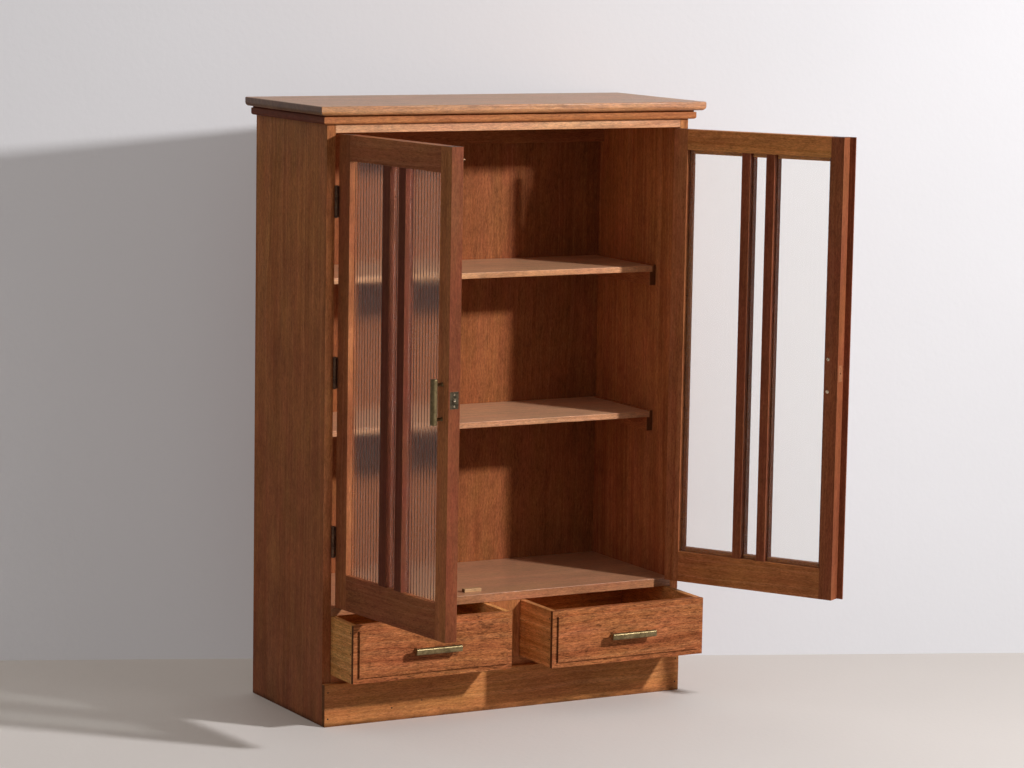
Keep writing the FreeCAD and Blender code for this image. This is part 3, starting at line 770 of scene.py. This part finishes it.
def sprigs(node):
    """Headless nails in the rebates, which hold a pane from inside."""
    low, high = shut_box(node)
    mesh = bmesh.new()
    for share in sprig_shares:
        height = low.z + (high.z - low.z) * share
        for x, inward in ((low.x, axes["x"]), (high.x, -axes["x"])):
            place = Vector((x, high.y + sprig_radius, height)) - inward * sprig_in_wood
            outline = ((sprig_radius, 0), (sprig_radius, sprig_long * sprig_neck_share),
                       (sprig_radius / 2, sprig_long))
            lathe(mesh, outline, screw_steps, aimed(place, inward))
    body = body_of(node)
    mesh.transform(shut[body].inverted())
    add_piece(node + "_sprigs", mesh, "dark_iron", body)


# Handles, screws and nails

def round_rectangle(half_wide, half_deep, corner):
    """The outline of a rectangle round the origin, with rounded corners."""
    outline = []
    for quarter, (x, y) in enumerate(((1, 1), (-1, 1), (-1, -1), (1, -1))):
        for step in range(handle_corner_steps + 1):
            angle = (quarter + step / handle_corner_steps) * math.pi / 2
            outline.append((x * (half_wide - corner) + corner * math.cos(angle),
                            y * (half_deep - corner) + corner * math.sin(angle)))
    return outline


def handle(node, along, post_share):
    """A cast bar with eased ends on two turned posts."""
    low, high = shut_box(node)
    size = high - low
    long = size["xyz".index(along)]
    wide = size.x if along == "z" else size.z
    deep = size.y * bar_deep_share
    rings = []
    for end in (-1, 1):
        for step in range(handle_corner_steps + 1):
            angle = step / handle_corner_steps * math.pi / 2
            inset = handle_end_round * (1 - math.cos(angle))
            reach = long / 2 - handle_end_round * (1 - math.sin(angle))
            rings.append((end * reach, inset if step else 0.0))
    rings.sort(key=lambda ring: ring[0])
    mesh = bmesh.new()
    made = []
    for reach, inset in rings:
        outline = round_rectangle(wide / 2 - inset, deep / 2 - inset, handle_corner - inset)
        made.append([mesh.verts.new((x, y - size.y + deep / 2, reach)) for x, y in outline])
    walls(mesh, made)
    mesh.faces.new(made[0][::-1])
    mesh.faces.new(made[-1])
    for end in (-1, 1):
        foot = Matrix.Translation((0, 0, end * long * post_share / 2))
        lathe(mesh, post_outline, post_steps, foot @ Matrix.Rotation(math.pi / 2, 4, "X"))
    if along == "x":
        mesh.transform(Matrix.Rotation(math.pi / 2, 4, "Y"))
    middle = (low + high) / 2
    mesh.transform(Matrix.Translation((middle.x, high.y, middle.z)))
    body = body_of(node)
    mesh.transform(shut[body].inverted())
    add_piece(node + "_cast", mesh, "handle_metal", body, (node,))


def screw(mesh, place, facing, radius, tall, turn):
    """A slotted head whose foot is at place and which faces along a direction."""
    matrix = aimed(place, facing) @ Matrix.Rotation(turn, 4, "Z")
    half_slot = radius * slot_share
    start = math.asin(half_slot / radius)
    floor_radius = radius * slot_floor_share
    floor_outline = ((floor_radius, 0), (floor_radius, tall * (1 - slot_deep_share)))
    lathe(mesh, floor_outline, screw_steps, matrix)
    for side in (1, -1):
        rings = []
        for shrink, height in screw_profile:
            ring = []
            for step in range(screw_steps // 2 + 1):
                angle = start + (math.pi - 2 * start) * step / (screw_steps // 2)
                x = radius * shrink * math.cos(angle)
                y = max(radius * shrink * math.sin(angle), half_slot)
                ring.append(mesh.verts.new(matrix @ Vector((x, side * y, tall * height))))
            rings.append(ring)
        walls(mesh, rings)
        mesh.faces.new(rings[0])
        mesh.faces.new(rings[-1])


def screw_row(name, body, places, facing, radius, tall, material="dull_brass"):
    """Slotted screws at places given with the door shut, each turned its own way."""
    mesh = bmesh.new()
    chance = random.Random(name)
    for place in places:
        screw(mesh, place, facing, radius, tall, chance.uniform(0, math.pi))
    mesh.transform(shut[body].inverted())
    add_piece(name, mesh, material, body)


def handle_set(node, along, post_share, inner_y):
    """A handle, and its two screws on the inner face of the wood behind it."""
    handle(node, along, post_share)
    low, high = shut_box(node)
    reach = (high - low)["xyz".index(along)] * post_share / 2
    places = []
    for end in (-1, 1):
        place = (low + high) / 2 + axes[along] * end * reach
        place.y = inner_y
        places.append(place)
    screw_row(node + "_screws", body_of(node), places, axes["y"], screw_radius, screw_tall,
              "rubbed_brass")


def handles():
    """A handle on each door's meeting stile and on each drawer's front."""
    for side in sides:
        stile_high = shut_box("door_" + side + "_meeting_stile")[1]
        handle_set("door_" + side + "_handle", "z", door_post_share, stile_high.y)
        front_high = shut_box("drawer_" + side + "_front")[1]
        handle_set("drawer_" + side + "_handle", "x", drawer_post_share, front_high.y)


def hinge_middles():
    """The heights of the middles of a door's three hinges."""
    low, high = shut_box("hinge_leaves_fixed")
    return low.z + hinge_tall / 2, (low.z + high.z) / 2, high.z - hinge_tall / 2


def leaf_screws(name, body, leaf_x, facing, axis_y):
    """Three countersunk screws in each of a row of hinge leaves."""
    places = []
    for middle in hinge_middles():
        for rise, depth in zip(hinge_screw_rises, hinge_screw_depths):
            places.append(Vector((leaf_x, axis_y + depth, middle + rise)))
    screw_row(name, body, places, facing, hinge_screw_radius, hinge_screw_tall, "hinge_metal")


def hinges():
    """The hinges' leaves and pins, with the leaves' screws and the pins' heads."""
    fitting("hinge_leaves_fixed", "hinge_metal")
    fitting("hinge_pins", "hinge_metal")
    heads = bmesh.new()
    for side, sign in zip(sides, (-1, 1)):
        body = "door_" + side
        fitting(body + "_hinge_leaves", "hinge_metal")
        joint = next(item for item in frame["joints"] if item["name"] == body + "_hinge")
        axis_x, axis_y = joint["pos_m"][:2]
        out = axes["x"] * sign
        gap = sign * hinge_leaf_gap
        leaf_screws(body + "_hinge_screws", body, axis_x - gap, out, axis_y)
        leaf_screws("side_" + side + "_hinge_screws", "root", axis_x + gap, -out, axis_y)
        for middle in hinge_middles():
            for end in (-1, 1):
                place = Matrix.Translation((axis_x, axis_y, middle + end * hinge_tall / 2))
                outline = ((pin_head_radius, 0), (pin_head_radius, pin_head_tall / 2),
                           (pin_head_radius * pin_head_crown, pin_head_tall))
                lathe(heads, outline, screw_steps, place @ Matrix.Diagonal((1, end, end, 1)))
    add_piece("hinge_pin_heads", heads, "hinge_metal", "root")


def catch():
    """The catch in the left door's edge, with its ball, and the strike in the right door's."""
    fitting("catch_case", "brass_fittings")
    fitting("catch_strike", "stained_brass")
    for node, facing in (("catch_case", axes["x"]), ("catch_strike", -axes["x"])):
        low, high = shut_box(node)
        face_x = high.x if facing.x > 0 else low.x
        places = [Vector((face_x, (low.y + high.y) / 2, height))
                  for height in (low.z + plate_screw_inset, high.z - plate_screw_inset)]
        metal = "rubbed_brass" if node == "catch_case" else "stained_brass"
        screw_row(node + "_screws", body_of(node), places, facing, plate_screw_radius,
                  plate_screw_tall, metal)
    low, high = shut_box("catch_ball")
    radius = (high.z - low.z) / 2
    long = high.x - low.x
    outline = [(radius, 0)]
    for step in range(nose_steps):
        angle = step / nose_steps * math.pi / 2
        outline.append((radius * math.cos(angle), long - nose_round * (1 - math.sin(angle))))
    outline.append((radius * nose_tip_share, long))
    mesh = bmesh.new()
    start = Vector((low.x, (low.y + high.y) / 2, (low.z + high.z) / 2))
    lathe(mesh, outline, post_steps, aimed(start, axes["x"]))
    mesh.transform(shut["ball"].inverted())
    add_piece("catch_ball_nose", mesh, "rubbed_brass", "ball", ("catch_ball",))


def bolt_fittings():
    """The surface bolt on the left door, and its keeper behind the top rail."""
    for node in ("bolt_guide", "bolt", "bolt_keeper"):
        fitting(node, "dull_brass")
    low, high = shut_box("bolt_guide")
    middle = (low + high) / 2
    places = [Vector((middle.x + side * guide_screw_side, low.y + bolt_plate_thick, middle.z + rise))
              for side in (-1, 1) for rise in (-guide_screw_rise, guide_screw_rise)]
    screw_row("bolt_guide_screws", "door_left", places, axes["y"], guide_screw_radius, plate_screw_tall)
    low, high = shut_box("bolt_keeper")
    middle = (low + high) / 2
    places = [Vector((middle.x + side * keeper_screw_side, low.y + bolt_plate_thick, middle.z))
              for side in (-1, 1)]
    screw_row("bolt_keeper_screws", "root", places, axes["y"], keeper_screw_radius, plate_screw_tall)


def drawer_nails():
    """Nails through the drawers' sides into the ends of their fronts."""
    for side in sides:
        body = "drawer_" + side
        low, high = shut_box(body + "_sides")
        mesh = bmesh.new()
        for face_x, facing in ((low.x, -axes["x"]), (high.x, axes["x"])):
            for share in nail_shares:
                place = Vector((face_x, low.y + nail_back, low.z + (high.z - low.z) * share))
                lathe(mesh, nail_outline, screw_steps, aimed(place, facing))
        add_piece(body + "_nails", mesh, "dark_iron", body)


def nails_in_plinth():
    """Nails through the plinth board, at given places across and up its face."""
    low = shut_box("plinth_board")[0]
    mesh = bmesh.new()
    for across, height in plinth_nails:
        place = Vector((across, low.y, height))
        lathe(mesh, nail_outline, screw_steps, aimed(place, -axes["y"]))
    add_piece("plinth_nails", mesh, "dark_iron", "root")


# Stage, light and camera

def camera_axes():
    """The camera's right, up and forward directions."""
    forward = Vector((math.sin(camera_yaw) * math.cos(camera_pitch),
                      math.cos(camera_yaw) * math.cos(camera_pitch), math.sin(camera_pitch)))
    level = Vector((math.cos(camera_yaw), -math.sin(camera_yaw), 0))
    raised = level.cross(forward)
    right = math.cos(camera_roll) * level + math.sin(camera_roll) * raised
    up = math.cos(camera_roll) * raised - math.sin(camera_roll) * level
    return right, up, forward


def add_camera():
    """A camera where the photograph's stood."""
    right, up, forward = camera_axes()
    data = bpy.data.cameras.new("camera")
    data.sensor_width = sensor_wide_mm
    data.lens = sensor_wide_mm * camera_focal_px / picture_wide_px
    data.clip_end = camera_sight
    camera = bpy.data.objects.new("camera", data)
    matrix = Matrix((right, up, -forward)).transposed().to_4x4()
    matrix.translation = camera_place
    camera.matrix_world = matrix
    bpy.context.scene.collection.objects.link(camera)
    bpy.context.scene.camera = camera


def staged(name, mesh, material):
    """Puts a finished mesh in the scene as a part of the stage."""
    data = bpy.data.meshes.new(name)
    mesh.to_mesh(data)
    mesh.free()
    data.shade_smooth()
    data.materials.append(material)
    piece = bpy.data.objects.new(name, data)
    bpy.context.scene.collection.objects.link(piece)
    return piece


def add_stage():
    """A pale floor, and a wall behind that only cameras, gloss and glass see."""
    mesh = bmesh.new()
    corners = ((-1, -1), (1, -1), (1, 1), (-1, 1))
    mesh.faces.new([mesh.verts.new((x * floor_reach, y * floor_reach, 0)) for x, y in corners])
    paint = plaster_material("floor_paint", floor_colour, floor_rough, floor_glow,
                             floor_glow_span, floor_given_back)
    staged("floor", mesh, paint)
    mesh = bmesh.new()
    along = (wall_right_foot - wall_left_foot).normalized()
    middle = (wall_left_foot + wall_right_foot) / 2
    places = ((-1, wall_lift), (1, wall_lift), (1, wall_tall), (-1, wall_tall))
    mesh.faces.new([mesh.verts.new(middle + along * side * wall_reach + axes["z"] * height)
                    for side, height in places])
    plaster = plaster_material("wall_plaster", wall_colour, wall_rough, wall_glow,
                               wall_glow_span, one_sided=True)
    wall = staged("wall", mesh, plaster)
    wall.visible_diffuse = False
    wall.visible_shadow = False


def add_light(name, place, target, size, power, colour):
    """A round lamp whose light thins out evenly with distance, as from a long way off."""
    data = bpy.data.lights.new(name, "AREA")
    data.shape = "DISK"
    data.size = size
    data.energy = power
    data.color = colour
    data.use_nodes = True
    tree = data.node_tree
    falloff = tree.nodes.new("ShaderNodeLightFalloff")
    falloff.inputs["Strength"].default_value = 1.0
    tree.links.new(falloff.outputs["Linear"], tree.nodes["Emission"].inputs["Strength"])
    light = bpy.data.objects.new(name, data)
    light.location = place
    light.rotation_mode = "QUATERNION"
    light.rotation_quaternion = (target - place).to_track_quat("-Z", "Y")
    bpy.context.scene.collection.objects.link(light)


def add_world():
    """A soft even fill, dimmer in gloss, and a pale background for the camera and glass."""
    world = bpy.data.worlds.new("studio")
    world.use_nodes = True
    bpy.context.scene.world = world
    tree = world.node_tree
    tree.nodes.clear()
    rays = tree.nodes.new("ShaderNodeLightPath").outputs
    shares = []
    for colour, strength in ((fill_colour, 1.0), (seen_colour, gloss_strength), (seen_colour, 1.0)):
        share = tree.nodes.new("ShaderNodeBackground")
        share.inputs["Color"].default_value = (*colour, 1)
        share.inputs["Strength"].default_value = strength
        shares.append(share.outputs[0])
    direction = tree.nodes.new("ShaderNodeTexCoord").outputs["Generated"]
    parts = tree.nodes.new("ShaderNodeSeparateXYZ")
    tree.links.new(direction, parts.inputs[0])
    rise = tree.nodes.new("ShaderNodeMapRange")
    rise.inputs["To Min"].default_value = fill_low
    rise.inputs["To Max"].default_value = fill_high
    tree.links.new(parts.outputs["Z"], rise.inputs["Value"])
    tree.links.new(rise.outputs[0], shares[0].node.inputs["Strength"])
    light = shares[0]
    for name, shown in (("Is Glossy Ray", shares[1]), ("Is Transmission Ray", shares[2]),
                        ("Is Camera Ray", shares[2])):
        choice = tree.nodes.new("ShaderNodeMixShader")
        tree.links.new(rays[name], choice.inputs[0])
        tree.links.new(light, choice.inputs[1])
        tree.links.new(shown, choice.inputs[2])
        light = choice.outputs[0]
    output = tree.nodes.new("ShaderNodeOutputWorld")
    tree.links.new(light, output.inputs["Surface"])


def main():
    add_camera()
    carcass()
    doors()
    drawers()
    handles()
    hinges()
    catch()
    bolt_fittings()
    drawer_nails()
    nails_in_plinth()
    add_stage()
    add_light("key", key_place, key_target, key_size, key_power, key_colour)
    add_light("back", back_place, back_target, back_size, back_power, fill_colour)
    add_world()
    bpy.context.scene.view_settings.view_transform = "Standard"


main()
